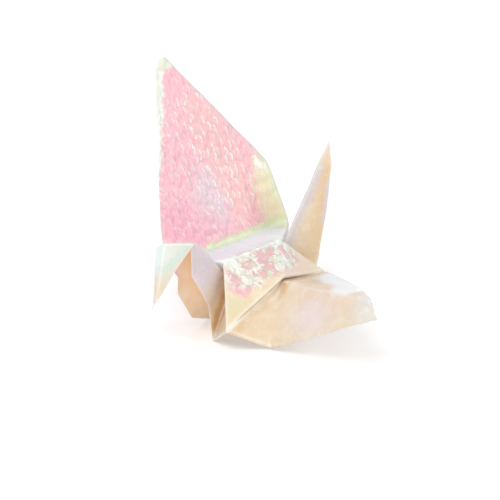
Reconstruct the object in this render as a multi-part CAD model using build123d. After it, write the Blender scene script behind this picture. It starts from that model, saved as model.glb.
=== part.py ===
from build123d import *
import os
from math import cos, radians, sin, sqrt

# A paper crane, folded from one square sheet.
# X runs from the head to the tail, Y from the lowered wing to the raised wing, Z is up.

# Sheet
sheet_side = 75.0           # side of the square before folding
paper = 0.1                 # thickness of the sheet
fold_reach = 0.23           # half the width of the soft bend at a fold
layer_gap = 0.6             # between a wing and the strip that is folded behind it
slit = 0.5                  # room between two raw edges that meet behind a wing

# Back, the ridge between the two wings
ridge_height = 12.8         # above the ground
ridge_front = 8.5           # from the middle to the neck's end
ridge_rear = 6.8            # from the middle to the tail's end

# Raised wing
raised_root_out = 7.0       # from the ridge to the wing's root
raised_root_drop = 0.7      # from the ridge down to the wing's root
raised_root_shift = -0.5    # along the body
raised_lean = 63.0          # degrees above level
raised_tip_shift = -1.9     # tip towards the head
raised_tip_width = 1.4      # the tip is a little blunt
raised_corner = (-4.4, 35.3)  # corner of the front edge below the tip: along the root, and up
front_shoulder = 6.0        # height of the corner at the wing's front edge
rear_shoulder = 12.3        # height of the corner at the wing's rear edge
shoulder_inset = 0.7        # the shoulders stand in from the root's ends

# Lowered wing
lowered_root_out = 7.5
lowered_root_drop = 7.7
lowered_root_shift = -1.5
lowered_yaw = 9.6           # degrees that the root turns from the ridge
lowered_pitch = 2.8         # degrees that the root climbs towards the tail
lowered_reach = 31.8        # root to the crumpled tip
lowered_rise = 16.8         # degrees above level
lowered_heading = -5.1      # degrees from square to the body
lowered_tip_width = 3.9
lowered_tip_turn = 57.0     # degrees from the body's length
lowered_tip_tilt = 39.0     # degrees above level
rim_lift = 3.8              # the rim of the back arches up over the root
rim_shift = 3.0             # top of that arch towards the tail
rim_in = 1.0                # and towards the ridge
tuck_drop = 1.3             # the root is tucked below and behind the rim
tuck_in = 1.6
lowered_shoulder = 0.73     # share of the rear edge from the root to its corner
lowered_shoulder_lift = 1.1
dip_along = -10.3           # low corner of the wing's front edge, where it meets the ground
dip_out = 15.0
dip_lift = 0.6              # its strip lies on the ground

# Neck and head, in the side view: distance ahead of the middle, and height
neck_root = (6.0, 7.8)      # where the spine turns inside the body
neck_foot = (15.7, 0.0)
neck_bend = (14.9, 6.6)
throat = (17.5, 12.8)
chin = (17.5, 18.4)
nape = (15.3, 19.3)
brow = (23.0, 20.9)
beak_tip = (26.8, 7.8)
beak_base = (21.3, 15.2)
beak_side = (26.0, 9.6)
neck_near = 1.2             # front edges of the neck to either side of its spine
neck_far = 1.8
foot_near = 5.0             # the feet spread further than the edges above them
foot_far = 3.2
far_foot_back = 6.7         # the far layer's foot stands behind the near one
far_bend = (14.9, 2.6)
far_throat = (18.5, 8.6)
beak_near = 1.0
beak_far = 2.3
far_cheek = (23.0, 19.3)
far_beak_side = (23.6, 15.8)

# Tail, in the side view: distance behind the middle, and height
tail_root = (5.7, 8.4)
tail_foot = (10.9, 0.0)
tail_base = (15.3, 7.1)
tail_waist = (17.2, 16.3)
tail_shoulder = (19.0, 25.4)
tail_tip = (19.5, 29.9)
tail_crest = (16.4, 25.8)
tail_side = 0.8             # the tail stands to the raised wing's side of the ridge
tail_near = 1.7             # rear edges of the tail to either side of its spine
tail_far = 1.2
tail_foot_near = 3.5
tail_shoulder_share = 0.75  # the tail narrows towards its tip

# Lengths that the creases of the sheet give
root_width = sheet_side * (sqrt(2) - 1)
wing_length = sheet_side / 2


def heading(turn, rise):
    """A unit vector turned about Z from +X and then lifted from level."""
    level = cos(radians(rise))
    return Vector(level * cos(radians(turn)), level * sin(radians(turn)), sin(radians(rise)))


def raised(along, up):
    """A point in the plane of the raised wing, from the middle of its root."""
    out = raised_root_out + up * cos(radians(raised_lean))
    height = ridge_height - raised_root_drop + up * sin(radians(raised_lean))
    return Vector(raised_root_shift + along, out, height)


def ahead(side_view, out):
    """A point of the neck or head."""
    return Vector(-side_view[0], out, side_view[1])


def behind(side_view, out):
    """A point of the tail."""
    return Vector(side_view[0], tail_side + out, side_view[1])


# Root and tip of the lowered wing
lowered_middle = Vector(lowered_root_shift, -lowered_root_out, ridge_height - lowered_root_drop)
lowered_root = heading(lowered_yaw, lowered_pitch)
lowered_tip = lowered_middle + heading(lowered_heading - 90, lowered_rise) * lowered_reach
lowered_tip_edge = heading(lowered_tip_turn, lowered_tip_tilt) * (lowered_tip_width / 2)
lowered_rim = lowered_middle + Vector(rim_shift, rim_in, rim_lift)
half_slit = Vector(slit / 2, 0, 0)
half_root = root_width / 2

# Corners of the folded sheet, on its middle surface
corner = {
    "ridge_front": Vector(-ridge_front, 0, ridge_height),
    "ridge_rear": Vector(ridge_rear, 0, ridge_height),
    # Raised wing
    "raised_front": raised(-half_root, 0),
    "raised_rear": raised(half_root, 0),
    "front_shoulder": raised(-half_root + shoulder_inset, front_shoulder),
    "rear_shoulder": raised(half_root - shoulder_inset, rear_shoulder),
    "raised_corner": raised(*raised_corner),
    "raised_tip_front": raised(raised_tip_shift - raised_tip_width / 2, wing_length),
    "raised_tip_rear": raised(raised_tip_shift + raised_tip_width / 2, wing_length),
    "raised_middle": raised(0, 0),
    "raised_tip": raised(raised_tip_shift, wing_length),
    # Lowered wing
    "lowered_front": lowered_middle - lowered_root * half_root,
    "lowered_rear": lowered_middle + lowered_root * half_root,
    "rim": lowered_rim,
    "tuck": lowered_rim + Vector(0, tuck_in, -tuck_drop),
    "dip": Vector(dip_along, -dip_out, dip_lift),
    "lowered_tip": lowered_tip,
    "lowered_tip_front": lowered_tip - lowered_tip_edge,
    "lowered_tip_rear": lowered_tip + lowered_tip_edge,
    # Neck and head
    "neck_root": ahead(neck_root, 0),
    "neck_foot": ahead(neck_foot, -foot_near),
    "neck_bend": ahead(neck_bend, -(neck_near + foot_near) / 2),
    "throat": ahead(throat, -neck_near),
    "chin": ahead(chin, -beak_near),
    "nape": ahead(nape, 0),
    "brow": ahead(brow, 0),
    "beak_tip": ahead(beak_tip, 0),
    "beak_base": ahead(beak_base, -beak_near),
    "beak_side": ahead(beak_side, -beak_near / 2),
    "far_foot": ahead(neck_foot, foot_far) + Vector(far_foot_back, 0, 0),
    "far_bend": ahead(far_bend, neck_far),
    "far_throat": ahead(far_throat, neck_far),
    "far_chin": ahead(chin, beak_far),
    "far_cheek": ahead(far_cheek, beak_far),
    "far_beak_side": ahead(far_beak_side, beak_far),
    # Tail
    "tail_root": behind(tail_root, 0),
    "tail_foot": behind(tail_foot, -tail_foot_near),
    "tail_base": behind(tail_base, -tail_near),
    "tail_waist": behind(tail_waist, -tail_near),
    "tail_shoulder": behind(tail_shoulder, -tail_near * tail_shoulder_share),
    "tail_tip": behind(tail_tip, 0),
    "tail_crest": behind(tail_crest, 0),
    "far_tail_foot": behind(tail_foot, foot_far),
    "far_tail_base": behind(tail_base, tail_far),
    "far_tail_waist": behind(tail_waist, tail_far),
}

# The strips folded behind the wings repeat the corners of those wings, one layer away
raised_back = Vector(0, sin(radians(raised_lean)), -cos(radians(raised_lean))) * layer_gap
edge_ends = corner["lowered_rear"], corner["lowered_tip_rear"]
rear_edge = edge_ends[1] - edge_ends[0]
corner["lowered_shoulder"] = edge_ends[0] + rear_edge * lowered_shoulder + Vector(0, 0, lowered_shoulder_lift)
lowered_up = Vector(0, 0, 0)
for first, second in (("lowered_front", "dip"), ("dip", "lowered_tip"), ("lowered_tip", "lowered_rear")):
    lowered_up += (corner[first] - corner["tuck"]).cross(corner[second] - corner["tuck"]).normalized()
lowered_under = lowered_up.normalized() * -layer_gap
for name in [name for name in corner if "raised" in name] + ["front_shoulder", "rear_shoulder"]:
    corner[name + "_strip"] = corner[name] + raised_back
for name in [name for name in corner if "lowered" in name or name in ("tuck", "dip")]:
    corner[name + "_strip"] = corner[name] + lowered_under
for name in ("raised_middle_strip", "raised_tip_strip", "tuck_strip", "lowered_tip_strip"):
    corner[name + "_front"] = corner[name] - half_slit
    corner[name + "_rear"] = corner[name] + half_slit

# Panels between the folds, each a loop of corners that shows its printed side anticlockwise
panels = [
    # Back
    "rim lowered_rear ridge_rear ridge_front lowered_front",
    "ridge_front ridge_rear raised_rear raised_front",
    # Raised wing, its folded edges, the strips behind it and the body's far wall
    "raised_front raised_rear rear_shoulder raised_tip_rear raised_tip_front raised_corner front_shoulder",
    "raised_front front_shoulder front_shoulder_strip raised_front_strip",
    "front_shoulder raised_corner raised_corner_strip front_shoulder_strip",
    "raised_corner raised_tip_front raised_tip_front_strip raised_corner_strip",
    "rear_shoulder raised_rear raised_rear_strip rear_shoulder_strip",
    "raised_tip_rear rear_shoulder rear_shoulder_strip raised_tip_rear_strip",
    ("front_shoulder_strip raised_corner_strip raised_tip_front_strip raised_tip_strip_front"
     " raised_middle_strip_front raised_front_strip"),
    ("rear_shoulder_strip raised_rear_strip raised_middle_strip_rear"
     " raised_tip_strip_rear raised_tip_rear_strip"),
    "raised_front raised_front_strip far_foot",
    "raised_front_strip raised_middle_strip_front far_foot",
    "raised_rear_strip raised_rear far_tail_foot",
    "raised_middle_strip_rear raised_rear_strip far_tail_foot",
    # Lowered wing, tucked under the rim of the back
    "rim lowered_front tuck",
    "lowered_rear rim tuck",
    "tuck lowered_front dip",
    "tuck dip lowered_tip",
    "dip lowered_tip_front lowered_tip",
    "tuck lowered_tip lowered_tip_rear",
    "tuck lowered_tip_rear lowered_shoulder lowered_rear",
    # Its folded edges, the strips under it and the body's near wall
    "dip lowered_front lowered_front_strip dip_strip",
    "lowered_tip_front dip dip_strip lowered_tip_front_strip",
    "lowered_rear lowered_shoulder lowered_shoulder_strip lowered_rear_strip",
    "lowered_shoulder lowered_tip_rear lowered_tip_rear_strip lowered_shoulder_strip",
    "lowered_front_strip tuck_strip_front dip_strip",
    "tuck_strip_front lowered_tip_strip_front dip_strip",
    "dip_strip lowered_tip_strip_front lowered_tip_front_strip",
    "tuck_strip_rear lowered_rear_strip lowered_shoulder_strip lowered_tip_rear_strip",
    "lowered_tip_rear_strip lowered_tip_strip_rear tuck_strip_rear",
    "lowered_front_strip lowered_front neck_foot",
    "tuck_strip_front lowered_front_strip neck_foot",
    "lowered_rear lowered_rear_strip tail_foot",
    "lowered_rear_strip tuck_strip_rear tail_foot",
    # Front and rear of the body, folded in to the spine
    "neck_root ridge_front raised_front far_foot",
    "neck_root neck_foot lowered_front ridge_front",
    "tail_root far_tail_foot raised_rear ridge_rear",
    "tail_root ridge_rear lowered_rear tail_foot",
    # Neck and head
    "neck_root nape chin throat neck_bend neck_foot",
    "neck_root far_foot far_bend far_throat far_chin nape",
    "brow beak_tip beak_side beak_base chin nape",
    "brow nape far_chin far_cheek far_beak_side beak_tip",
    # Tail
    "tail_root tail_foot tail_base tail_waist tail_shoulder tail_tip tail_crest",
    "tail_root tail_crest tail_tip far_tail_waist far_tail_base far_tail_foot",
]
loops = [tuple(panel.split()) for panel in panels]


def neighbours(loop, name):
    """The corners before and after one corner of a loop."""
    place = loop.index(name)
    return loop[place - 1], loop[(place + 1) % len(loop)]


def edges_of(loop):
    """The directed edges of a loop."""
    return list(zip(loop, loop[1:] + loop[:1]))


sheet_edges = {edge: loop for loop in loops for edge in edges_of(loop)}


def normal_of(loop):
    """The direction that a panel's printed side faces."""
    total = Vector(0, 0, 0)
    for here, there in edges_of(loop):
        total += corner[here].cross(corner[there])
    return total.normalized()


def drawn_in(loop, name):
    """A panel's corner, drawn back from the folds beside it. A cut edge isn't drawn back."""
    before, after = neighbours(loop, name)
    facing = normal_of(loop)
    inward_before = facing.cross(corner[name] - corner[before]).normalized()
    inward_after = facing.cross(corner[after] - corner[name]).normalized()
    reach_before = fold_reach if (name, before) in sheet_edges else 0.0
    reach_after = fold_reach if (after, name) in sheet_edges else 0.0
    alike = inward_before.dot(inward_after)
    if reach_before == reach_after:
        return corner[name] + (inward_before + inward_after) * (reach_after / (1 + alike))
    pull_before = (reach_before - alike * reach_after) / (1 - alike ** 2)
    pull_after = (reach_after - alike * reach_before) / (1 - alike ** 2)
    return corner[name] + inward_before * pull_before + inward_after * pull_after


def panels_around(name):
    """The panels that meet at a corner, in anticlockwise order."""
    after = {neighbours(loop, name)[1]: loop for loop in loops if name in loop}
    before = {neighbours(loop, name)[0] for loop in after.values()}
    starts = sorted(set(after) - before)
    step = starts[0] if starts else sorted(after)[0]
    ring = []
    while step in after:
        loop = after.pop(step)
        ring.append(loop)
        step = neighbours(loop, name)[0]
    return ring


def skin():
    """Loops that cover the sheet: its panels, a strip along each fold and a cap where folds meet."""
    cover = [[(loop, name) for name in loop] for loop in loops]
    for (here, there), loop in sheet_edges.items():
        other = sheet_edges.get((there, here))
        if other and (here, there) < (there, here):
            cover.append([(loop, there), (loop, here), (other, here), (other, there)])
    for name in sorted({name for loop in loops for name in loop}):
        ring = panels_around(name)
        if len(ring) > 2:
            cover.append([(loop, name) for loop in ring])
    return cover


def thickened(cover):
    """One closed solid: the printed face, the plain face and the cut edges of the sheet."""
    printed, plain = {}, {}
    for loop, name in {point for patch in cover for point in patch}:
        half = normal_of(loop) * (paper / 2)
        printed[loop, name] = drawn_in(loop, name) + half
        plain[loop, name] = drawn_in(loop, name) - half
    faces = []
    for patch in cover:
        for second, third in zip(patch[1:], patch[2:]):
            faces.append((printed[patch[0]], printed[second], printed[third]))
            faces.append((plain[third], plain[second], plain[patch[0]]))
    edges = [edge for patch in cover for edge in edges_of(tuple(patch))]
    for here, there in edges:
        if (there, here) not in edges:
            faces.append((printed[there], printed[here], plain[here]))
            faces.append((printed[there], plain[here], plain[there]))
    return Solid(Shell([Face(Wire.make_polygon(points, close=True)) for points in faces]))


folded_sheet = thickened(skin())

# The origin is on the ground, under the middle of the crane
box = folded_sheet.bounding_box()
folded_sheet = folded_sheet.moved(Location((-box.center().X, -box.center().Y, -box.min.Z)))

os.makedirs("parts", exist_ok=True)
export_step(folded_sheet, "parts/folded_sheet.step")
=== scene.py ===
"""Looks of a paper crane, folded from one embossed sheet with a pearl film on its printed side."""

import logging
import math
from dataclasses import dataclass
from enum import Enum

import bmesh
import bpy
from mathutils import Matrix, Vector, kdtree, noise
from mathutils.geometry import intersect_point_line

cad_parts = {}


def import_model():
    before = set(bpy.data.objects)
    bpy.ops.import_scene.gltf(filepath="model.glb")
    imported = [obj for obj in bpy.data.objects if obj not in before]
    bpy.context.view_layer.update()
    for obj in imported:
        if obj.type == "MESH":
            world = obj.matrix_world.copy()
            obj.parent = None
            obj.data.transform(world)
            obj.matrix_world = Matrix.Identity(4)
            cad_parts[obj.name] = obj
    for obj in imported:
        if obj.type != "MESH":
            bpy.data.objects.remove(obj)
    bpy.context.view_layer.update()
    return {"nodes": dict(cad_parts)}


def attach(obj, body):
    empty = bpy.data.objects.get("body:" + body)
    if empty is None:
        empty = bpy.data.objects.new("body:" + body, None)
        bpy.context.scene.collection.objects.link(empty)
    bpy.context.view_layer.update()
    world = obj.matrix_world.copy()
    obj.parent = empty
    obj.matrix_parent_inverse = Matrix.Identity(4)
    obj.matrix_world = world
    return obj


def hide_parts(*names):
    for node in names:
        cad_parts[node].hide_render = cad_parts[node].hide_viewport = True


LOG = logging.getLogger("paper_crane")
MM = 0.001
FOLD_LINE = "fold_line"
# The raised wing: degrees above level, and the middle of its root in millimetres
WING_LEAN = 63.0
WING_ROOT = (2.9, 14.2, 12.0)
# Ends of the embossed band on the near half of the back, in millimetres
BACK_FRONT = (-2.6, 4.2, 10.6)
BACK_REAR = (7.5, 5.4, 11.2)
# Places of a colour mix node's sockets, which share their names with those for other kinds of value
MIX_SHARE = 0
MIX_FIRST = 6
MIX_SECOND = 7
MIX_RESULT = 2
Socket = bpy.types.NodeSocket
Colour = tuple[float, float, float, float]
Triple = tuple[float, float, float]
Span = tuple[float, float]


class Side(Enum):
    """The faces of the sheet. A value is the place of its finish among the piece's materials."""

    PRINTED = 0
    PLAIN = 1
    CUT = 2


class Rim(Enum):
    """How the edge of a sheen patch looks. A value is the share of the patch over which it fades."""

    SOFT = 0.8
    FIRM = 0.35
    RAGGED = 0.5


class GroupName(Enum):
    """The shared shader node groups."""

    PATCH = "Sheen patch"
    EMBOSS = "Embossed pebbles"
    FIBRE = "Paper fibre"


def screen(red: int, green: int, blue: int) -> Colour:
    """Turns a colour as a screen shows it into the linear values that a shader takes.

    Args:
        red: Red from 0 to 255.
        green: Green from 0 to 255.
        blue: Blue from 0 to 255.

    Returns:
        Linear red, green and blue, with full opacity.
    """
    linear = []
    for value in (red, green, blue):
        part = value / 255
        # The curve of a standard screen, with its straight foot
        linear.append(part / 12.92 if part <= 0.04045 else ((part + 0.055) / 1.055) ** 2.4)
    return (*linear, 1.0)


@dataclass
class Sketch:
    """A node tree with short ways to add nodes and join them."""

    tree: bpy.types.NodeTree

    def node(self, kind: str, **settings: object) -> bpy.types.Node:
        """Adds a node.

        Args:
            kind: Blender's name for the node type.
            settings: Values for the node's own properties.

        Returns:
            The new node.
        """
        added = self.tree.nodes.new(kind)
        for name, value in settings.items():
            setattr(added, name, value)
        return added

    def put(self, target: Socket, value: object) -> None:
        """Joins a socket to a target, or sets the target to a plain value.

        Args:
            target: The input socket.
            value: An output socket, or a number, colour or vector.
        """
        if isinstance(value, bpy.types.NodeSocket):
            self.tree.links.new(value, target)
        else:
            target.default_value = value

    def math(self, operation: str, *values: object) -> Socket:
        """Adds a Math node and returns its result."""
        added = self.node("ShaderNodeMath", operation=operation)
        for target, value in zip(added.inputs, values):
            self.put(target, value)
        return added.outputs["Value"]

    def vector(self, operation: str, *values: object) -> Socket:
        """Adds a Vector Math node and returns its vector."""
        added = self.node("ShaderNodeVectorMath", operation=operation)
        for target, value in zip(added.inputs, values):
            self.put(target, value)
        return added.outputs["Vector"]

    def measure(self, operation: str, *values: object) -> Socket:
        """Adds a Vector Math node and returns its number."""
        added = self.node("ShaderNodeVectorMath", operation=operation)
        for target, value in zip(added.inputs, values):
            self.put(target, value)
        return added.outputs["Value"]

    def ease(self, value: Socket, span: Span) -> Socket:
        """Adds a smooth step from 0 to 1.

        Args:
            value: The value that is mapped.
            span: Where the result is 0, and where it is 1. The second may be below the first.

        Returns:
            The mapped value.
        """
        rising = span[0] < span[1]
        added = self.node("ShaderNodeMapRange", interpolation_type="SMOOTHSTEP")
        self.put(added.inputs["Value"], value)
        added.inputs["From Min"].default_value = min(span)
        added.inputs["From Max"].default_value = max(span)
        added.inputs["To Min"].default_value = 0.0 if rising else 1.0
        added.inputs["To Max"].default_value = 1.0 if rising else 0.0
        return added.outputs["Result"]

    def mix(self, share: object, first: object, second: object) -> Socket:
        """Mixes two colours.

        Args:
            share: How much of the second colour shows, from 0 to 1.
            first: The first colour.
            second: The second colour.

        Returns:
            The mixed colour.
        """
        added = self.node("ShaderNodeMix", data_type="RGBA")
        self.put(added.inputs[MIX_SHARE], share)
        self.put(added.inputs[MIX_FIRST], first)
        self.put(added.inputs[MIX_SECOND], second)
        return added.outputs[MIX_RESULT]

    def noise(self, place: Socket, scale: float, detail: float) -> bpy.types.Node:
        """Adds a noise texture and returns its node."""
        added = self.node("ShaderNodeTexNoise")
        self.put(added.inputs["Vector"], place)
        added.inputs["Scale"].default_value = scale
        added.inputs["Detail"].default_value = detail
        return added

    def cells(self, place: Socket, feature: str) -> bpy.types.Node:
        """Adds a flat cell texture, with cells about one unit wide, and returns its node."""
        added = self.node("ShaderNodeTexVoronoi", feature=feature, voronoi_dimensions="2D")
        self.put(added.inputs["Vector"], place)
        added.inputs["Scale"].default_value = 1.0
        return added

    def red(self, colour: Socket) -> Socket:
        """Returns the red part of a colour."""
        added = self.node("ShaderNodeSeparateColor")
        self.put(added.inputs["Color"], colour)
        return added.outputs["Red"]

    def strayed(self, place: Socket, scale: float, far: float) -> Socket:
        """Moves a place about at random.

        Args:
            place: The place in millimetres.
            scale: How many times per millimetre the move changes.
            far: Full width of the move in millimetres.

        Returns:
            The moved place.
        """
        middle = (0.5, 0.5, 0.5)
        offset = self.vector("SUBTRACT", self.noise(place, scale, 2.0).outputs["Color"], middle)
        return self.vector("MULTIPLY_ADD", offset, (far, far, far), place)

    def relief(self, shader: bpy.types.Node, height: Socket, strength: float, tall: float) -> None:
        """Bumps a shader's surface.

        Args:
            shader: The shader node.
            height: The height from 0 to 1.
            strength: How much of the bump shows.
            tall: What a height of 1 stands for, in millimetres.
        """
        bump = self.node("ShaderNodeBump")
        bump.inputs["Strength"].default_value = strength
        bump.inputs["Distance"].default_value = tall * MM
        self.put(bump.inputs["Height"], height)
        self.put(shader.inputs["Normal"], bump.outputs["Normal"])

    def seen(self) -> Socket:
        """Returns 1 for rays from the camera, reflections and clear parts, and 0 for other light."""
        path = self.node("ShaderNodeLightPath").outputs
        mirrored = self.math("MAXIMUM", path["Is Glossy Ray"], path["Is Transmission Ray"])
        return self.math("MAXIMUM", path["Is Camera Ray"], mirrored)


@dataclass(frozen=True)
class PebbleLook:
    """The form of one pressed pebble and its painted glint. Spans are distances from its middle, in pebbles.
    """

    drift_scale: float = 0.5
    drift: float = 1.5
    smoothness: float = 0.35
    dome: Span = (0.8, 0.0)
    dip: Span = (0.4, 0.75)
    glint_inside: Span = (0.16, 0.28)
    glint_outside: Span = (0.62, 0.44)
    glint_side: Span = (0.03, 0.18)
    glint_chance: Span = (0.0, 0.5)
    glint_height: float = 0.4


@dataclass(frozen=True)
class FibreLook:
    """The cloudiness and tooth of paper, and speckles used for painted glints. Scales are repeats per
    millimetre.
    """

    cloud_scale: float = 0.35
    cloud_detail: float = 3.0
    cloud: Span = (0.3, 0.7)
    speckle_scale: float = 1.2
    speckle_detail: float = 2.0
    glint_speckle: Span = (0.5, 0.72)
    tooth_scale: float = 4.0
    tooth_detail: float = 3.0


class EffectGroups:
    """The shader node groups that the finishes share."""

    def __init__(self) -> None:
        """Builds each group once."""
        self.patch = self._patch()
        self.emboss = self._emboss(PebbleLook())
        self.fibre = self._fibre(FibreLook())

    def _start(
        self, name: GroupName, inputs: list[tuple[str, str]], outputs: list[tuple[str, str]]
    ) -> Sketch:
        """Makes an empty group with named sockets.

        Args:
            name: The group's name.
            inputs: Names and socket types of its inputs.
            outputs: Names and socket types of its outputs.

        Returns:
            A sketch of the group's tree.
        """
        tree = bpy.data.node_groups.new(name.value, "ShaderNodeTree")
        for label, kind in inputs:
            tree.interface.new_socket(label, in_out="INPUT", socket_type=kind)
        for label, kind in outputs:
            tree.interface.new_socket(label, in_out="OUTPUT", socket_type=kind)
        return Sketch(tree)

    def _patch(self) -> bpy.types.NodeTree:
        """Builds a patch of another tint round a point, or along the line from a start to an end.

        Returns:
            The group. It puts out the tinted colour and the patch's mask.
        """
        sketch = self._start(
            GroupName.PATCH,
            [
                ("Colour", "NodeSocketColor"),
                ("Place", "NodeSocketVector"),
                ("Start", "NodeSocketVector"),
                ("End", "NodeSocketVector"),
                ("Reach", "NodeSocketVector"),
                ("Fade", "NodeSocketFloat"),
                ("Tint", "NodeSocketColor"),
                ("Strength", "NodeSocketFloat"),
            ],
            [("Colour", "NodeSocketColor"), ("Mask", "NodeSocketFloat")],
        )
        given = sketch.node("NodeGroupInput").outputs
        result = sketch.node("NodeGroupOutput").inputs
        line = sketch.vector("SUBTRACT", given["End"], given["Start"])
        offset = sketch.vector("SUBTRACT", given["Place"], given["Start"])
        along = sketch.measure("DOT_PRODUCT", offset, line)
        share = sketch.math("DIVIDE", along, sketch.measure("DOT_PRODUCT", line, line))
        share = sketch.math("MINIMUM", sketch.math("MAXIMUM", share, 0.0), 1.0)
        nearest = sketch.node("ShaderNodeVectorMath", operation="SCALE")
        sketch.put(nearest.inputs[0], line)
        sketch.put(nearest.inputs["Scale"], share)
        aside = sketch.vector("SUBTRACT", offset, nearest.outputs["Vector"])
        away = sketch.measure("LENGTH", sketch.vector("DIVIDE", aside, given["Reach"]))
        left = sketch.math("DIVIDE", sketch.math("SUBTRACT", 1.0, away), given["Fade"])
        mask = sketch.math("MULTIPLY", sketch.ease(left, (0.0, 1.0)), given["Strength"])
        sketch.put(result["Colour"], sketch.mix(mask, given["Colour"], given["Tint"]))
        sketch.put(result["Mask"], mask)
        return sketch.tree

    def _emboss(self, look: PebbleLook) -> bpy.types.NodeTree:
        """Builds rounded pebbles pressed into the sheet, each with a painted curved glint down one side.

        Args:
            look: The form of a pebble.

        Returns:
            The group. It puts out a height, masks of the painted glints and of the dips between pebbles,
            where shade is painted, and a value that differs from pebble to pebble.
        """
        sketch = self._start(
            GroupName.EMBOSS,
            [("Place", "NodeSocketVector"), ("Pebble", "NodeSocketVector")],
            [
                ("Height", "NodeSocketFloat"),
                ("Glint", "NodeSocketFloat"),
                ("Dip", "NodeSocketFloat"),
                ("Facet", "NodeSocketFloat"),
            ],
        )
        given = sketch.node("NodeGroupInput").outputs
        result = sketch.node("NodeGroupOutput").inputs
        strayed = sketch.strayed(given["Place"], look.drift_scale, look.drift)
        moved = sketch.vector("DIVIDE", strayed, given["Pebble"])
        pebble = sketch.cells(moved, "SMOOTH_F1")
        pebble.inputs["Smoothness"].default_value = look.smoothness
        dome = sketch.ease(pebble.outputs["Distance"], look.dome)
        cell = sketch.cells(moved, "F1").outputs
        aside = sketch.node("ShaderNodeSeparateXYZ")
        sketch.put(aside.inputs[0], sketch.vector("SUBTRACT", moved, cell["Position"]))
        inside = sketch.ease(cell["Distance"], look.glint_inside)
        outside = sketch.ease(cell["Distance"], look.glint_outside)
        ring = sketch.math("MULTIPLY", inside, outside)
        one_side = sketch.ease(aside.outputs["X"], look.glint_side)
        chosen = sketch.ease(sketch.red(cell["Color"]), look.glint_chance)
        glint = sketch.math("MULTIPLY", sketch.math("MULTIPLY", ring, one_side), chosen)
        sketch.put(result["Height"], sketch.math("MULTIPLY_ADD", glint, look.glint_height, dome))
        sketch.put(result["Glint"], glint)
        sketch.put(result["Dip"], sketch.ease(pebble.outputs["Distance"], look.dip))
        sketch.put(result["Facet"], sketch.red(pebble.outputs["Color"]))
        return sketch.tree

    def _fibre(self, look: FibreLook) -> bpy.types.NodeTree:
        """Builds the faint cloudiness and tooth of paper, and speckles used for painted glints.

        Args:
            look: Its scales.

        Returns:
            The group. It puts out a cloud and fine speckles for painted glints from 0 to 1, and a fine
            height.
        """
        sketch = self._start(
            GroupName.FIBRE,
            [("Place", "NodeSocketVector")],
            [("Cloud", "NodeSocketFloat"), ("Speckle", "NodeSocketFloat"), ("Height", "NodeSocketFloat")],
        )
        given = sketch.node("NodeGroupInput").outputs
        result = sketch.node("NodeGroupOutput").inputs
        place = given["Place"]
        cloud = sketch.noise(place, look.cloud_scale, look.cloud_detail).outputs["Fac"]
        glint_speckle = sketch.noise(place, look.speckle_scale, look.speckle_detail).outputs["Fac"]
        tooth = sketch.noise(place, look.tooth_scale, look.tooth_detail).outputs["Fac"]
        sketch.put(result["Cloud"], sketch.ease(cloud, look.cloud))
        sketch.put(result["Speckle"], sketch.ease(glint_speckle, look.glint_speckle))
        sketch.put(result["Height"], tooth)
        return sketch.tree


@dataclass(frozen=True)
class SheenAndShadePatch:
    """One patch round a point or along a line: the film's changing colour, painted shade, or a painted
    highlight. Sizes are in millimetres.

    A patch that is used only for its mask keeps the plain white tint.
    """

    start: Triple
    reach: Triple
    tint: Colour = screen(255, 255, 255)
    strength: float = 1.0
    end: Triple | None = None
    rim: Rim = Rim.SOFT


def on_raised_wing(along: float, up: float) -> Triple:
    """Gives a point of the raised wing.

    Args:
        along: Millimetres from the middle of its root, towards the tail.
        up: Millimetres up the wing from its root.

    Returns:
        The point in the crane's frame, in millimetres.
    """
    lean = math.radians(WING_LEAN)
    middle_x, middle_y, middle_z = WING_ROOT
    return (middle_x + along, middle_y + up * math.cos(lean), middle_z + up * math.sin(lean))


def millimetres(sketch: Sketch) -> Socket:
    """Gives the place on the piece in millimetres, from its Object coordinates."""
    place = sketch.node("ShaderNodeTexCoord").outputs["Object"]
    return sketch.vector("MULTIPLY", place, (1 / MM, 1 / MM, 1 / MM))


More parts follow.
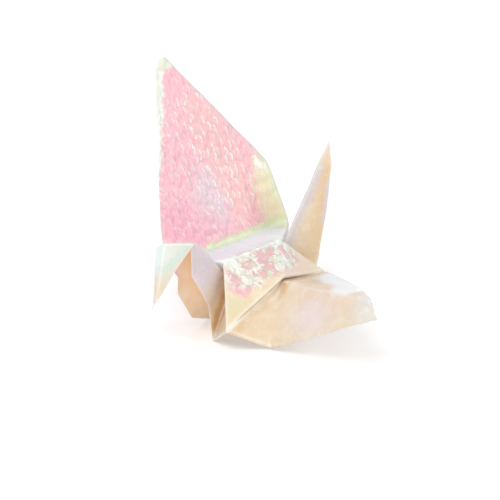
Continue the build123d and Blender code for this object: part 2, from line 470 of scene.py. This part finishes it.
@dataclass(frozen=True)
class PearlFilm:
    """The printed side: a pearl film over cream paper, embossed on the back and on the raised wing."""

    cream: Colour = screen(246, 227, 202)
    cream_deep: Colour = screen(240, 214, 184)
    patches: tuple[SheenAndShadePatch, ...] = (
        # Raised wing: pink over all of it, then lilac, salmon, beige and green towards its rear edge
        SheenAndShadePatch(
            on_raised_wing(-8.0, 4.0), (25.0, 9.0, 11.0), screen(253, 184, 205), 1.0,
            on_raised_wing(-3.0, 36.0), Rim.FIRM,
        ),
        SheenAndShadePatch(on_raised_wing(-10.0, 6.0), (7.0, 6.0, 9.0), screen(250, 170, 204), 0.8),
        SheenAndShadePatch(on_raised_wing(-0.5, 9.5), (7.0, 7.0, 13.0), screen(232, 200, 221), 0.95),
        SheenAndShadePatch(
            on_raised_wing(6.5, 6.0), (6.0, 7.0, 7.0), screen(249, 190, 198), 0.8, on_raised_wing(2.0, 25.0)
        ),
        SheenAndShadePatch(
            on_raised_wing(14.5, 2.0), (6.5, 7.0, 7.0), screen(246, 230, 198), 1.0,
            on_raised_wing(14.5, 8.0), Rim.RAGGED,
        ),
        SheenAndShadePatch(
            on_raised_wing(17.5, 0.0), (4.5, 5.0, 5.0), screen(230, 242, 208), 0.95,
            on_raised_wing(16.0, 12.0),
        ),
        SheenAndShadePatch(
            on_raised_wing(-5.0, -0.6), (2.6, 2.0, 2.4), screen(228, 238, 200), 1.0,
            on_raised_wing(16.0, 0.2), Rim.RAGGED,
        ),
        # Its front edge as a painted highlight band, its tip, and a painted white glint at its rear edge
        # Painted highlight along the front edge
        SheenAndShadePatch(
            on_raised_wing(-4.6, 35.0), (2.0, 2.0, 2.0), screen(240, 248, 242), 1.0,
            on_raised_wing(-12.4, 17.0), Rim.RAGGED,
        ),
        SheenAndShadePatch(
            on_raised_wing(-1.9, 38.0), (3.6, 3.0, 3.6), screen(230, 240, 224), rim=Rim.RAGGED
        ),
        # Painted white glint at the rear edge
        SheenAndShadePatch(
            on_raised_wing(12.0, 13.6), (0.8, 0.8, 0.8), screen(252, 254, 248), 1.0,
            on_raised_wing(13.1, 11.6), Rim.RAGGED,
        ),
        # Far half of the back, a painted white highlight along the ridge, and the near half
        SheenAndShadePatch(
            (-7.0, 10.6, 12.4), (3.6, 3.6, 2.4), screen(249, 245, 253), 1.0, (12.0, 10.6, 12.4), Rim.FIRM
        ),
        # Painted white highlight along the ridge
        SheenAndShadePatch(
            (-5.0, 7.6, 12.8), (1.2, 1.2, 1.2), screen(246, 253, 248), 1.0, (10.5, 7.6, 12.8), Rim.FIRM
        ),
        SheenAndShadePatch((8.0, 4.0, 9.5), (9.0, 5.5, 5.0), screen(246, 218, 206), 0.9),
        SheenAndShadePatch((-9.0, 0.0, 7.0), (5.0, 4.0, 4.0), screen(234, 222, 186), 0.9),
        SheenAndShadePatch((-5.0, 2.6, 9.2), (2.8, 2.8, 2.8), screen(244, 172, 190), 0.95, None, Rim.RAGGED),
        # Lowered wing: peach in front, painted tan shade under the rim, lilac in the middle, grey at the
        # tip, and a painted white highlight behind
        SheenAndShadePatch((-10.6, -6.5, 5.7), (9.0, 7.0, 6.0), screen(244, 208, 166), 0.8),
        # Painted shade under the rim, in two lengths
        SheenAndShadePatch(
            (-13.4, -3.6, 3.5), (1.5, 1.5, 1.5), screen(222, 182, 138), 0.55, (4.9, -0.3, 7.8)
        ),
        SheenAndShadePatch(
            (4.9, -0.3, 7.8), (1.4, 1.4, 1.4), screen(216, 172, 126), 0.6, (17.2, 1.4, 5.1)
        ),
        SheenAndShadePatch((-3.4, -13.0, 8.4), (10.0, 11.0, 7.0), screen(242, 228, 234), 0.6),
        SheenAndShadePatch((-1.0, -29.0, 13.8), (9.0, 9.0, 7.0), screen(240, 232, 224), 0.9),
        # Painted white highlight on the rear of the wing
        SheenAndShadePatch(
            (11.8, -5.0, 6.8), (5.0, 5.0, 5.0), screen(255, 255, 255), 1.0, (5.5, -19.0, 11.0), Rim.FIRM
        ),
        # Neck: lilac above, painted brown shade where it goes in under the back, cream at the far side; and
        # the head
        SheenAndShadePatch((-15.0, 9.5, 8.0), (8.0, 5.0, 12.0), screen(246, 224, 198), 1.0, None, Rim.FIRM),
        SheenAndShadePatch((-11.5, 6.5, 14.0), (7.5, 5.5, 11.0), screen(236, 220, 234), 0.95),
        # Painted shade where the neck goes in under the back
        SheenAndShadePatch((-2.6, 7.2, 9.0), (1.6, 1.6, 1.6), screen(212, 162, 108), 0.8, (-10.8, 3.2, 3.0)),
        SheenAndShadePatch((-19.5, 8.0, 19.0), (7.5, 5.0, 8.0), screen(246, 253, 248), 1.0),
        SheenAndShadePatch(
            (-14.5, 7.0, 19.0), (1.4, 1.4, 1.4), screen(222, 243, 232), 0.7, (-21.0, 7.0, 15.5), Rim.RAGGED
        ),
        # Tail: grey lilac at its front, orange beige behind, lilac along its rear edge, and a small painted
        # mint glint near its top
        SheenAndShadePatch(
            (19.0, 6.6, 6.0), (4.5, 3.0, 3.0), screen(242, 208, 170), 0.9, (21.6, 6.8, 24.0)
        ),
        SheenAndShadePatch(
            (11.5, 8.0, 11.5), (2.6, 2.2, 2.4), screen(222, 212, 214), 1.0, (19.6, 8.0, 25.0)
        ),
        SheenAndShadePatch(
            (20.4, 6.3, 14.0), (1.6, 1.4, 1.4), screen(230, 212, 230), 0.9, (21.8, 6.6, 21.0)
        ),
        # Painted mint glint
        SheenAndShadePatch((20.4, 7.6, 25.2), (1.3, 1.2, 1.1), screen(226, 244, 232), 0.7),
    )
    # Where the sheet is embossed, and where its painted glints are brightest
    embossed_wing: SheenAndShadePatch = SheenAndShadePatch(on_raised_wing(-4.0, 18.0), (32.0, 24.0, 34.0))
    bright_wing: SheenAndShadePatch = SheenAndShadePatch(
        on_raised_wing(5.0, 6.0), (10.0, 11.0, 11.0), end=on_raised_wing(1.0, 24.0)
    )
    embossed_back: SheenAndShadePatch = SheenAndShadePatch(BACK_FRONT, (5.4, 4.8, 4.8), end=BACK_REAR, rim=Rim.RAGGED)
    glint: Colour = screen(255, 253, 250)
    mint: Colour = screen(226, 242, 230)
    olive: Colour = screen(232, 224, 208)
    rose: Colour = screen(241, 184, 198)
    dip_shade: Colour = screen(212, 194, 178)
    fold_line: Colour = screen(252, 249, 246)
    wing_line: Colour = screen(212, 210, 198)
    fold_wear_and_highlight: float = 0.7
    # Pebbles, in millimetres, and how much of their painted glints, colours and painted shade in the dips
    # shows
    pebble: Triple = (1.25, 1.85, 1.0)
    back_pebble: Triple = (1.0, 1.1, 1.0)
    left_glints: float = 0.5
    foil_share: float = 0.9
    foil_dip_shade: float = 0.6
    to_olive: Span = (0.3, 0.42)
    to_mint: Span = (0.42, 0.58)
    to_white: Span = (0.55, 0.75)
    glint_speckle: float = 0.2
    # How the edges of patches and the foil stray: changes per millimetre, and width in millimetres
    soft_stray: Span = (0.16, 3.0)
    ragged_stray: Span = (0.8, 2.4)
    foil_stray: Span = (0.9, 2.4)
    # Gloss, and the height of the fine relief
    roughness: float = 0.32
    pressed_gloss: float = 0.1
    refraction: float = 1.6
    coat: float = 0.4
    coat_roughness: float = 0.15
    film_nanometres: float = 420.0
    film_refraction: float = 1.45
    plain_relief: float = 0.1
    tooth: float = 0.05
    bump: float = 0.7
    bump_height: float = 0.2

    def build(self, groups: EffectGroups) -> bpy.types.Material:
        """Makes the finish.

        Args:
            groups: The shared effects.

        Returns:
            The material.
        """
        material = bpy.data.materials.new("pearl_film")
        material.use_nodes = True
        sketch = Sketch(material.node_tree)
        shader = material.node_tree.nodes["Principled BSDF"]
        place = millimetres(sketch)
        drifted = sketch.strayed(place, *self.soft_stray)
        ragged = sketch.strayed(place, *self.ragged_stray)
        places = {Rim.SOFT: drifted, Rim.FIRM: drifted, Rim.RAGGED: ragged}
        fibre = sketch.node("ShaderNodeGroup", node_tree=groups.fibre)
        sketch.put(fibre.inputs["Place"], place)
        emboss = self._emboss(sketch, groups, place, self.pebble)
        foil = self._emboss(sketch, groups, sketch.strayed(place, *self.foil_stray), self.back_pebble)
        on_wing = self._add(sketch, groups, self.embossed_wing, self.glint, place).outputs["Mask"]
        bright = self._add(sketch, groups, self.bright_wing, self.glint, place).outputs["Mask"]
        on_back = self._add(sketch, groups, self.embossed_back, self.glint, ragged).outputs["Mask"]

        # Colour: cream, the patches of sheen and painted shade, painted glint speckles, the foil of the
        # back, painted glints, and wear with painted highlight along the folds
        colour = sketch.mix(fibre.outputs["Cloud"], self.cream, self.cream_deep)
        for patch in self.patches:
            colour = self._add(sketch, groups, patch, colour, places[patch.rim]).outputs["Colour"]
        # Painted glint speckles all over the film
        glint_speckle = sketch.math("MULTIPLY", fibre.outputs["Speckle"], self.glint_speckle)
        colour = sketch.mix(glint_speckle, colour, self.glint)
        # The back's foil: painted sheen and highlights per pebble, with painted shade in the dips
        foil_share = sketch.math("MULTIPLY", on_back, self.foil_share)
        colour = sketch.mix(foil_share, colour, self._foil(sketch, foil))
        # Painted glints on the pebbles of the raised wing and of the back
        lit = sketch.math("MULTIPLY_ADD", bright, 1.0 - self.left_glints, self.left_glints)
        lit = sketch.math("MULTIPLY", lit, on_wing)
        wing_glint = sketch.math("MULTIPLY", emboss.outputs["Glint"], lit)
        back_glint = sketch.math("MULTIPLY", foil.outputs["Glint"], on_back)
        colour = sketch.mix(sketch.math("MAXIMUM", wing_glint, back_glint), colour, self.glint)
        # Wear and painted highlight along the folds: white on the body, grey on the raised wing
        folds = sketch.node("ShaderNodeAttribute", attribute_name=FOLD_LINE).outputs["Fac"]
        line = sketch.mix(on_wing, self.fold_line, self.wing_line)
        colour = sketch.mix(sketch.math("MULTIPLY", folds, self.fold_wear_and_highlight), colour, line)
        sketch.put(shader.inputs["Base Color"], colour)

        # Gloss: smoother where the sheet is pressed
        pressed = sketch.math("MAXIMUM", on_wing, on_back)
        rough = sketch.math("MULTIPLY_ADD", pressed, -self.pressed_gloss, self.roughness)
        sketch.put(shader.inputs["Roughness"], rough)
        shader.inputs["IOR"].default_value = self.refraction
        shader.inputs["Coat Weight"].default_value = self.coat
        shader.inputs["Coat Roughness"].default_value = self.coat_roughness
        shader.inputs["Thin Film Thickness"].default_value = self.film_nanometres
        shader.inputs["Thin Film IOR"].default_value = self.film_refraction

        # Fine relief on the pebbles of the mesh
        depth = sketch.math("MULTIPLY_ADD", on_wing, 1.0 - self.plain_relief, self.plain_relief)
        tall = sketch.math("MULTIPLY", emboss.outputs["Height"], depth)
        tall = sketch.math("MULTIPLY_ADD", foil.outputs["Height"], on_back, tall)
        tall = sketch.math("MULTIPLY_ADD", fibre.outputs["Height"], self.tooth, tall)
        sketch.relief(shader, tall, self.bump, self.bump_height)
        return material

    def _emboss(
        self, sketch: Sketch, groups: EffectGroups, place: Socket, pebble: Triple
    ) -> bpy.types.Node:
        """Lays the pressed pattern flat on the raised wing, with its glints up the wing.

        Args:
            sketch: The material's tree.
            groups: The shared effects.
            place: The place on the piece in millimetres.
            pebble: Size of a pebble in millimetres.

        Returns:
            The group node.
        """
        laid = sketch.node("ShaderNodeVectorRotate", rotation_type="X_AXIS")
        sketch.put(laid.inputs["Vector"], place)
        laid.inputs["Angle"].default_value = -math.radians(WING_LEAN)
        added = sketch.node("ShaderNodeGroup", node_tree=groups.emboss)
        sketch.put(added.inputs["Place"], laid.outputs["Vector"])
        added.inputs["Pebble"].default_value = pebble
        return added

    def _foil(self, sketch: Sketch, emboss: bpy.types.Node) -> Socket:
        """Gives each pebble of the back a painted sheen, from rose through olive and mint to a painted white
        highlight.

        Args:
            sketch: The material's tree.
            emboss: The pressed pattern's node.

        Returns:
            The colour.
        """
        facet = emboss.outputs["Facet"]
        colour = sketch.mix(sketch.ease(facet, self.to_olive), self.rose, self.olive)
        colour = sketch.mix(sketch.ease(facet, self.to_mint), colour, self.mint)
        colour = sketch.mix(sketch.ease(facet, self.to_white), colour, self.glint)
        # Painted shade in the dips between pebbles
        dip = sketch.math("MULTIPLY", emboss.outputs["Dip"], self.foil_dip_shade)
        return sketch.mix(dip, colour, self.dip_shade)

    def _add(
        self, sketch: Sketch, groups: EffectGroups, patch: SheenAndShadePatch, colour: object, place: Socket
    ) -> bpy.types.Node:
        """Places one patch over a colour.

        Args:
            sketch: The material's tree.
            groups: The shared effects.
            patch: The patch.
            colour: The colour under it.
            place: The place on the piece in millimetres.

        Returns:
            The group node.
        """
        added = sketch.node("ShaderNodeGroup", node_tree=groups.patch)
        sketch.put(added.inputs["Colour"], colour)
        sketch.put(added.inputs["Place"], place)
        added.inputs["Start"].default_value = patch.start
        added.inputs["End"].default_value = patch.end or patch.start
        added.inputs["Reach"].default_value = patch.reach
        added.inputs["Fade"].default_value = patch.rim.value
        added.inputs["Tint"].default_value = patch.tint
        added.inputs["Strength"].default_value = patch.strength
        return added


@dataclass(frozen=True)
class PlainPaper:
    """The unprinted side and the cut edges: warm uncoated paper, with a painted glow where set."""

    name: str
    light: Colour
    deep: Colour
    glow: float = 0.0
    roughness: float = 0.75
    bump: float = 0.25
    bump_height: float = 0.03

    def build(self, groups: EffectGroups) -> bpy.types.Material:
        """Makes the finish.

        Args:
            groups: The shared effects.

        Returns:
            The material.
        """
        material = bpy.data.materials.new(self.name)
        material.use_nodes = True
        sketch = Sketch(material.node_tree)
        shader = material.node_tree.nodes["Principled BSDF"]
        fibre = sketch.node("ShaderNodeGroup", node_tree=groups.fibre)
        sketch.put(fibre.inputs["Place"], millimetres(sketch))
        sketch.put(shader.inputs["Base Color"], sketch.mix(fibre.outputs["Cloud"], self.light, self.deep))
        # Painted glow: stands in for light passing through the thin paper
        shader.inputs["Emission Color"].default_value = self.deep
        shader.inputs["Emission Strength"].default_value = self.glow
        shader.inputs["Roughness"].default_value = self.roughness
        sketch.relief(shader, fibre.outputs["Height"], self.bump, self.bump_height)
        return material


@dataclass
class FoldedSheet:
    """The crane's one sheet, with soft folds and the crumples of handling. Sizes are in millimetres."""

    node: bpy.types.Object
    paper: float = 0.1
    paper_slack: float = 0.0005
    merged: float = 0.002
    # Division into small triangles
    grain: float = 0.65
    first_cut: float = 12.0
    cut_ratio: float = 1.45
    flat_angle: float = 1.0
    # Soft curves of the lowered wing and of the neck. Folds sharper than the held angle stay in place
    relax_rounds: int = 120
    held_angle: float = 35.5
    wing_from: float = -0.5
    neck_ahead: float = -6.0
    neck_beside: float = 12.0
    # Folds: the angle from which they show, how far their wear and painted highlight spread, and their
    # rounding
    fold_angle: float = 22.0
    fold_blur: int = 1
    soften_rounds: int = 3
    smooth_share: float = 0.5
    # Embossed pebbles
    pebble: float = 1.3
    pebble_tall: float = 1.4
    press: float = 0.14
    press_fade: float = 2.0
    wing_layers: float = 2.0
    off_back: Triple = (0.0, -0.51, 0.86)
    back_reach: float = 4.8
    back_rise: float = 2.0
    # Broad waves of the whole sheet, and the short ones at the lowered wing's tip
    wave: float = 0.22
    wave_length: float = 9.0
    tip_centre: Triple = (-1.0, -30.5, 14.0)
    tip_reach: float = 7.0
    tip_wave: float = 0.5
    tip_wave_length: float = 2.6
    wave_start: Triple = (4.0, 9.0, 2.0)
    wave_seed: int = 5

    def build(self) -> bpy.types.Object:
        """Makes the piece's mesh and puts it in the scene.

        Returns:
            The new object, at the origin with its place in its mesh.
        """
        work = bmesh.new()
        work.from_mesh(self.node.data)
        bmesh.ops.remove_doubles(work, verts=work.verts[:], dist=self.merged * MM)
        self.mark_sides(work)
        self.refine(work)
        self.relax(work)
        self.mark_folds(work)
        self.soften(work)
        self.emboss(work)
        self.crumple(work)
        for face in work.faces:
            face.smooth = True
        for edge in work.edges:
            sides = {face.material_index for face in edge.link_faces}
            edge.smooth = len(sides) == 1
        mesh = bpy.data.meshes.new("pearl_sheet")
        work.to_mesh(mesh)
        work.free()
        piece = bpy.data.objects.new("pearl_sheet", mesh)
        bpy.context.scene.collection.objects.link(piece)
        return piece

    def touches(self, vert: bmesh.types.BMVert, side: Side) -> bool:
        """Tells whether a point belongs to a face of one side of the sheet."""
        return any(face.material_index == side.value for face in vert.link_faces)

    def is_slack(self, place: Vector) -> bool:
        """Tells whether a place in millimetres is on the lowered wing or the neck."""
        on_neck = place.x < self.neck_ahead and place.y < self.neck_beside
        return on_neck or place.y < self.wing_from

    def smooth(self, work: bmesh.types.BMesh, verts: list[bmesh.types.BMVert], rounds: int) -> None:
        """Draws points towards their neighbours.

        Args:
            work: The mesh.
            verts: The points that move.
            rounds: How often they move.
        """
        for _ in range(rounds):
            bmesh.ops.smooth_vert(
                work, verts=verts, factor=self.smooth_share,
                use_axis_x=True, use_axis_y=True, use_axis_z=True,
            )

    def mark_sides(self, work: bmesh.types.BMesh) -> None:
        """Gives each face the material index of its side of the sheet.

        Args:
            work: The merged mesh.
        """
        near = self.paper_slack * MM
        for face in work.faces:
            face.material_index = Side.PLAIN.value
            if any(abs(edge.calc_length() - self.paper * MM) < near for edge in face.edges):
                face.material_index = Side.CUT.value
        seed = max(work.faces, key=lambda face: face.calc_area() * max(0.0, -face.normal.y))
        waiting = [seed]
        seed.material_index = Side.PRINTED.value
        while waiting:
            face = waiting.pop()
            for edge in face.edges:
                for other in edge.link_faces:
                    if other.material_index == Side.PLAIN.value:
                        other.material_index = Side.PRINTED.value
                        waiting.append(other)

    def refine(self, work: bmesh.types.BMesh) -> None:
        """Divides the panels into small even triangles.

        Args:
            work: The mesh.
        """
        limit = self.first_cut
        while limit > self.grain:
            limit = max(limit / self.cut_ratio, self.grain)
            long_edges = [edge for edge in work.edges if edge.calc_length() > limit * MM]
            bmesh.ops.subdivide_edges(work, edges=long_edges, cuts=1)
            bmesh.ops.triangulate(work, faces=[face for face in work.faces if len(face.verts) > 3])
            flat = math.radians(self.flat_angle)
            level = [edge for edge in work.edges if edge.calc_face_angle(math.pi) < flat]
            bmesh.ops.beautify_fill(work, faces=work.faces[:], edges=level, method="AREA")

    def relax(self, work: bmesh.types.BMesh) -> None:
        """Bends the lowered wing and the neck in soft curves between their folded edges.

        Both faces of the sheet move together.

        Args:
            work: The mesh.
        """
        printed = [vert for vert in work.verts if self.touches(vert, Side.PRINTED)]
        before = [vert.co.copy() for vert in printed]
        places = kdtree.KDTree(len(printed))
        for index, place in enumerate(before):
            places.insert(place, index)
        places.balance()
        sharp = math.radians(self.held_angle)
        held = {vert for edge in work.edges if edge.calc_face_angle(0.0) > sharp for vert in edge.verts}
        free = [vert for vert in printed if vert not in held and self.is_slack(vert.co / MM)]
        self.smooth(work, free, self.relax_rounds)
        moves = [vert.co - place for vert, place in zip(printed, before)]
        done = set(printed)
        for vert in work.verts:
            if vert not in done:
                vert.co += moves[places.find(vert.co)[1]]

    def mark_folds(self, work: bmesh.types.BMesh) -> None:
        """Writes how near each point is to a fold, for the wear and painted highlight along the fold lines.

        Args:
            work: The mesh.
        """
        layer = work.verts.layers.float.new(FOLD_LINE)
        for edge in work.edges:
            if edge.calc_face_angle(0.0) > math.radians(self.fold_angle):
                for vert in edge.verts:
                    vert[layer] = 1.0
        for _ in range(self.fold_blur):
            spread = {
                vert: sum(edge.other_vert(vert)[layer] for edge in vert.link_edges) / len(vert.link_edges)
                for vert in work.verts
            }
            for vert, value in spread.items():
                vert[layer] = (vert[layer] + value) / 2

    def soften(self, work: bmesh.types.BMesh) -> None:
        """Rounds the folds and leaves the cut edges.

        Args:
            work: The mesh.
        """
        inner = [vert for vert in work.verts if not self.touches(vert, Side.CUT)]
        self.smooth(work, inner, self.soften_rounds)

    def emboss(self, work: bmesh.types.BMesh) -> None:
        """Presses pebbles into the raised wing and the near half of the back.

        All layers at a place move the same way, to keep them apart.

        Args:
            work: The mesh.
        """
        lean = math.radians(WING_LEAN)
        up_wing = Vector((0.0, math.cos(lean), math.sin(lean)))
        off_wing = Vector((0.0, -math.sin(lean), math.cos(lean)))
        off_back = Vector(self.off_back).normalized()
        root = Vector(on_raised_wing(0.0, 0.0))
        start = Vector(BACK_FRONT)
        end = Vector(BACK_REAR)
        for vert in work.verts:
            place = vert.co / MM
            up = (place - root).dot(up_wing)
            flat = Vector((place.x / self.pebble, up / (self.pebble * self.pebble_tall), 0.0))
            dome = max(0.0, 1.0 - noise.voronoi(flat)[0][0]) * self.press
            share = intersect_point_line(place, start, end)[1]
            nearest = start.lerp(end, min(max(share, 0.0), 1.0))
            on_back = max(0.0, 1.0 - (place - nearest).length / self.back_reach)
            if abs((place - root).dot(off_wing)) < self.wing_layers and up > 0.0:
                vert.co += off_wing * (dome * min(1.0, up / self.press_fade) * MM)
            else:
                vert.co += off_back * (dome * min(1.0, self.back_rise * on_back) * MM)

    def crumple(self, work: bmesh.types.BMesh) -> None:
        """Moves the sheet in broad soft waves, and in short ones at the lowered wing's tip.

        Args:
            work: The mesh.
        """
        # Without a set seed the waves would differ from one run to the next
        noise.seed_set(self.wave_seed)
        start = Vector(self.wave_start)
        tip = Vector(self.tip_centre)
        for vert in work.verts:
            place = vert.co / MM
            move = noise.noise_vector(place / self.wave_length + start) * self.wave
            near = max(0.0, 1.0 - (place - tip).length / self.tip_reach)
            move += noise.noise_vector(place / self.tip_wave_length + start) * (self.tip_wave * near)
            vert.co += move * MM

    def dress(self, piece: bpy.types.Object, groups: EffectGroups) -> None:
        """Gives the piece its finishes, in the order of the sides.

        Args:
            piece: The sheet's object.
            groups: The shared effects.
        """
        finishes = {
            Side.PRINTED: PearlFilm(),
            # The plain side has a faint painted glow, for light through the paper
            Side.PLAIN: PlainPaper("plain_side", screen(254, 234, 210), screen(250, 220, 188), 0.08),
            Side.CUT: PlainPaper("cut_edge", screen(246, 236, 226), screen(236, 220, 206)),
        }
        for side in Side:
            piece.data.materials.append(finishes[side].build(groups))


@dataclass(frozen=True)
class Lamp:
    """A round soft lamp that faces the crane. Angles are in degrees and sizes in millimetres."""

    name: str
    azimuth: float
    elevation: float
    away: float
    size: float
    level: float


@dataclass
class Studio:
    """Floor, lamps, backdrop light and camera. Sizes are in millimetres."""

    target: Triple = (2.5, 8.05, 12.7)
    azimuth: float = -42.0
    elevation: float = 24.0
    distance: float = 1500.0
    seen_across: float = 95.4
    sensor: float = 36.0
    lamps: tuple[Lamp, ...] = (
        Lamp("key", -75.0, 58.0, 420.0, 300.0, 0.46),
        Lamp("fill", 40.0, 36.0, 520.0, 420.0, 0.28),
        Lamp("low", -70.0, 10.0, 520.0, 360.0, 0.18),
        Lamp("rim", 140.0, 40.0, 480.0, 260.0, 0.18),
    )
    # Strength of the backdrop as light, and as it is seen
    backdrop_light: float = 0.35
    backdrop_seen: float = 1.0
    floor_size: float = 4000.0
    floor_colour: Colour = screen(246, 246, 247)
    floor_roughness: float = 0.9
    floor_gloss: float = 0.1
    floor_glow: float = 0.25

    def direction(self, azimuth: float, elevation: float) -> Vector:
        """Gives the direction from the target to a place round it.

        Args:
            azimuth: Degrees about Z. At 0 the place is on the -Y side.
            elevation: Degrees above level.

        Returns:
            A unit vector.
        """
        turn, rise = math.radians(azimuth), math.radians(elevation)
        return Vector((math.sin(turn) * math.cos(rise), -math.cos(turn) * math.cos(rise), math.sin(rise)))

    def aimed(self, away: Vector) -> Matrix:
        """Gives the placement of a camera or lamp that looks at the target.

        Args:
            away: From the target to the object, in millimetres.

        Returns:
            The world matrix.
        """
        turn = away.to_track_quat("Z", "Y").to_matrix().to_4x4()
        return Matrix.Translation((Vector(self.target) + away) * MM) @ turn

    def add_camera(self) -> None:
        """Puts the camera at the photograph's viewing angle."""
        data = bpy.data.cameras.new("camera")
        data.sensor_width = self.sensor
        data.lens = data.sensor_width * self.distance / self.seen_across
        camera = bpy.data.objects.new("camera", data)
        camera.matrix_world = self.aimed(self.direction(self.azimuth, self.elevation) * self.distance)
        bpy.context.scene.collection.objects.link(camera)
        bpy.context.scene.camera = camera

    def add_lamps(self) -> None:
        """Puts in large soft lamps, each with an even strength at the crane."""
        for lamp in self.lamps:
            data = bpy.data.lights.new(lamp.name, "AREA")
            data.shape = "DISK"
            data.size = lamp.size * MM
            data.energy = lamp.level * (math.pi * lamp.away * MM) ** 2
            placed = bpy.data.objects.new(lamp.name, data)
            placed.matrix_world = self.aimed(self.direction(lamp.azimuth, lamp.elevation) * lamp.away)
            bpy.context.scene.collection.objects.link(placed)

    def add_backdrop(self) -> None:
        """Makes the world's even light, which the camera and reflections see as white."""
        world = bpy.data.worlds.new("backdrop")
        bpy.context.scene.world = world
        world.use_nodes = True
        sketch = Sketch(world.node_tree)
        light = world.node_tree.nodes["Background"]
        light.inputs["Color"].default_value = screen(255, 255, 255)
        added = self.backdrop_seen - self.backdrop_light
        strength = sketch.math("MULTIPLY_ADD", sketch.seen(), added, self.backdrop_light)
        sketch.put(light.inputs["Strength"], strength)

    def add_floor(self) -> None:
        """Lays a pale floor that keeps the crane's shadow."""
        work = bmesh.new()
        bmesh.ops.create_grid(work, x_segments=1, y_segments=1, size=self.floor_size * MM / 2)
        mesh = bpy.data.meshes.new("floor")
        work.to_mesh(mesh)
        work.free()
        floor = bpy.data.objects.new("floor", mesh)
        bpy.context.scene.collection.objects.link(floor)
        material = bpy.data.materials.new("pale_floor")
        material.use_nodes = True
        sketch = Sketch(material.node_tree)
        shader = material.node_tree.nodes["Principled BSDF"]
        shader.inputs["Base Color"].default_value = self.floor_colour
        shader.inputs["Roughness"].default_value = self.floor_roughness
        shader.inputs["Specular IOR Level"].default_value = self.floor_gloss
        shader.inputs["Emission Color"].default_value = screen(255, 255, 255)
        glow = sketch.math("MULTIPLY", sketch.seen(), self.floor_glow)
        sketch.put(shader.inputs["Emission Strength"], glow)
        mesh.materials.append(material)

    def build(self) -> None:
        """Sets the view and builds the studio."""
        bpy.context.scene.view_settings.view_transform = "Standard"
        self.add_camera()
        self.add_lamps()
        self.add_backdrop()
        self.add_floor()


def main() -> None:
    """Builds the crane and its studio."""
    logging.basicConfig(level=logging.INFO)
    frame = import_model()
    groups = EffectGroups()
    sheet = FoldedSheet(frame["nodes"]["folded_sheet"])
    piece = sheet.build()
    sheet.dress(piece, groups)
    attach(piece, "root")
    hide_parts("folded_sheet")
    LOG.info("%s has %d faces", piece.name, len(piece.data.polygons))
    Studio().build()


if __name__ == "__main__":
    main()
